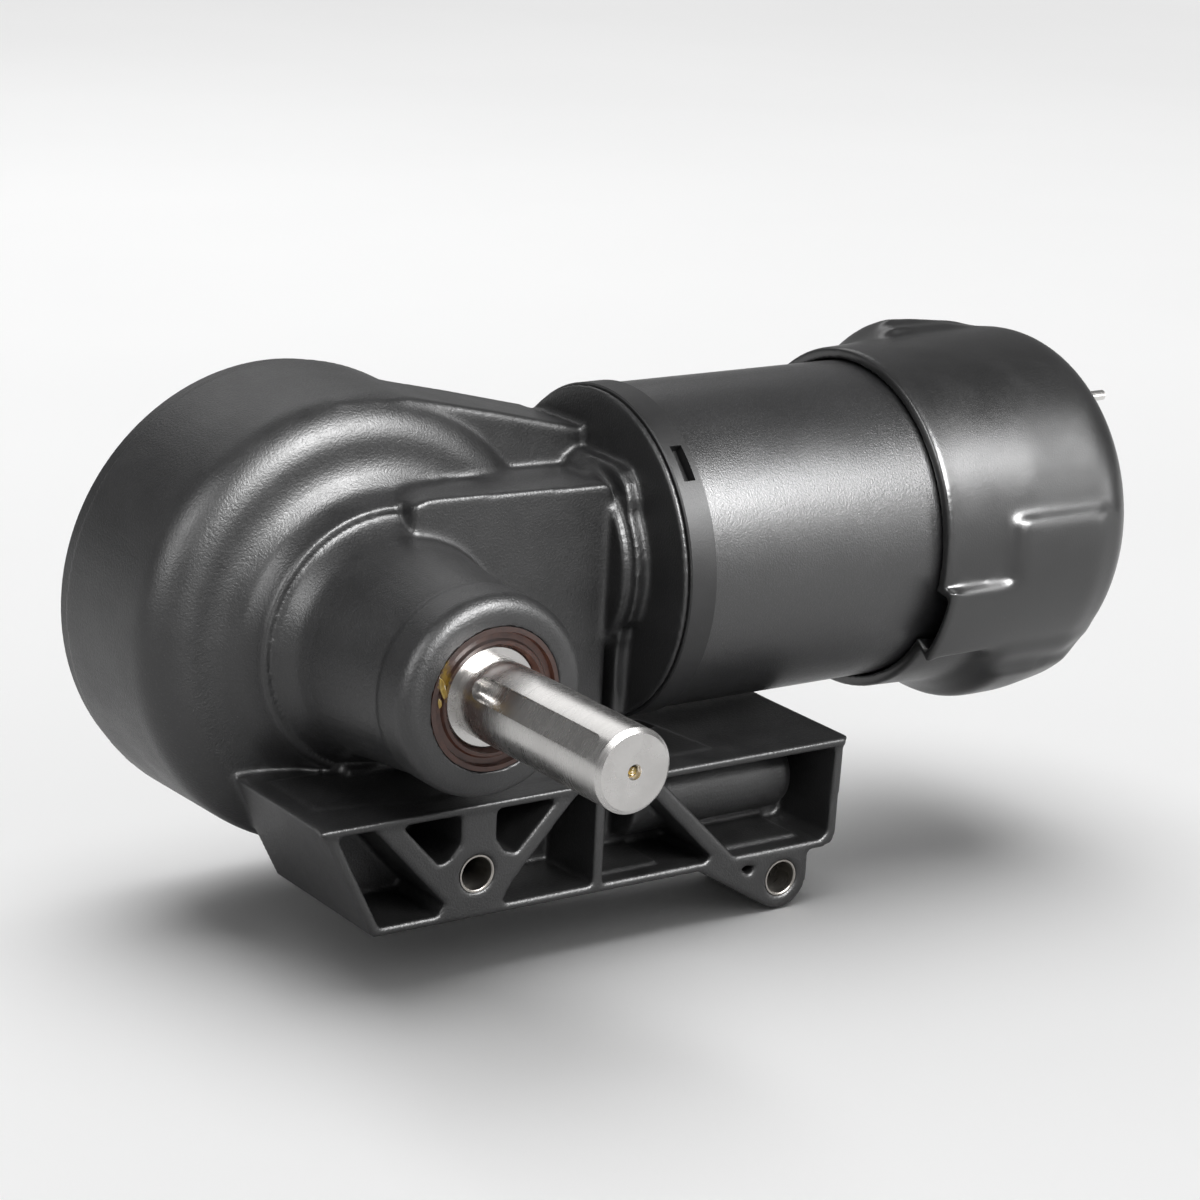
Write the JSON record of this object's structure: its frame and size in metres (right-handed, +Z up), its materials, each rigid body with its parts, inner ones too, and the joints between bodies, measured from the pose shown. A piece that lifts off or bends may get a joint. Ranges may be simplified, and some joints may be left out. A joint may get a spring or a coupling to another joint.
{
  "type": "worm gearmotor",
  "caption": "Right-angle geared motor: moulded gear case with a ribbed foot and a keyed output shaft, black tube motor and a lobed rear cap.",
  "frame": {"origin": "on the output shaft axis, in the outer face of the shaft seal", "axes": "+X towards the motor along the motor axis, -Y out of the output shaft's free end, +Z up from the foot"},
  "size_m": [0.2817, 0.1704, 0.1381],
  "materials": {
    "housing_plastic": "fine moulded grain, satin",
    "gasket": "matt",
    "screw_steel": "zinc plated",
    "sleeve_steel": "turned",
    "ground_steel": "ground",
    "gear_steel": "machined",
    "spring_steel": "phosphated",
    "bearing_steel": "ground",
    "seal_rubber": "brown fluoroelastomer",
    "bronze": "machined",
    "lamination": "varnished",
    "winding": "enamelled copper",
    "copper": "turned copper",
    "friction": "friction lining",
    "ring_plastic": "satin",
    "coated_tube": "sparkling satin powder coat",
    "magnet": "sintered ferrite",
    "brush_board": "phenolic board",
    "carbon": "pressed carbon",
    "cast_alloy": "die cast",
    "brake_body": "blackened",
    "cap_plastic": "smooth satin",
    "pin_steel": "bright drawn"
  },
  "bodies": {
    "housing": {"gear_housing": "housing_plastic", "rear_cover": "housing_plastic", "cover_gasket": "gasket", "cover_screws": "screw_steel", "foot_sleeve": "sleeve_steel", "ear_sleeve": "sleeve_steel", "front_bearing_outer": "bearing_steel", "front_bearing_balls": "bearing_steel", "rear_bearing_outer": "bearing_steel", "rear_bearing_balls": "bearing_steel", "output_seal": "seal_rubber", "intermediate_bush_front": "bronze", "intermediate_bush_rear": "bronze", "worm_bush": "bronze", "motor_bearing_outer": "bearing_steel", "motor_bearing_balls": "bearing_steel", "adapter_ring": "ring_plastic", "adapter_screws": "screw_steel", "motor_tube": "coated_tube", "magnets": "magnet", "brush_plate": "brush_board", "brushes": "carbon", "brush_springs": "spring_steel", "rear_end_bell": "cast_alloy", "through_bolts": "screw_steel", "brake_plate": "gear_steel", "brake_coil": "brake_body", "rear_cap": "cap_plastic", "cap_stud": "pin_steel"},
    "output": {"output_shaft": "ground_steel", "output_gear": "gear_steel", "gear_key": "gear_steel", "retaining_ring": "spring_steel", "gear_spacer": "sleeve_steel", "front_bearing_inner": "bearing_steel", "rear_bearing_inner": "bearing_steel"},
    "intermediate": {"intermediate_shaft": "gear_steel", "spur_pinion": "gear_steel", "worm_wheel": "bronze"},
    "rotor": {"worm": "gear_steel", "armature_shaft": "ground_steel", "motor_bearing_inner": "bearing_steel", "armature_core": "lamination", "armature_windings": "winding", "commutator": "copper", "brake_disc": "friction"}
  },
  "joints": [
    {"name": "output_spin", "type": "hinge", "parent": "housing", "child": "output", "pos_m": [0, 0, 0], "axis": [0, 1, 0], "continuous": true},
    {"name": "intermediate_spin", "type": "hinge", "parent": "housing", "child": "intermediate", "pos_m": [0.04019, 0.062, -0.0184], "axis": [0, 1, 0], "continuous": true},
    {"name": "motor_spin", "type": "hinge", "parent": "housing", "child": "rotor", "pos_m": [0.1, 0.062, 0.012], "axis": [1, 0, 0], "continuous": true}
  ],
  "couplings": [
    {"joint": "intermediate_spin", "follows": "output_spin", "ratio": -3.3333},
    {"joint": "motor_spin", "follows": "output_spin", "ratio": 106.67}
  ]
}
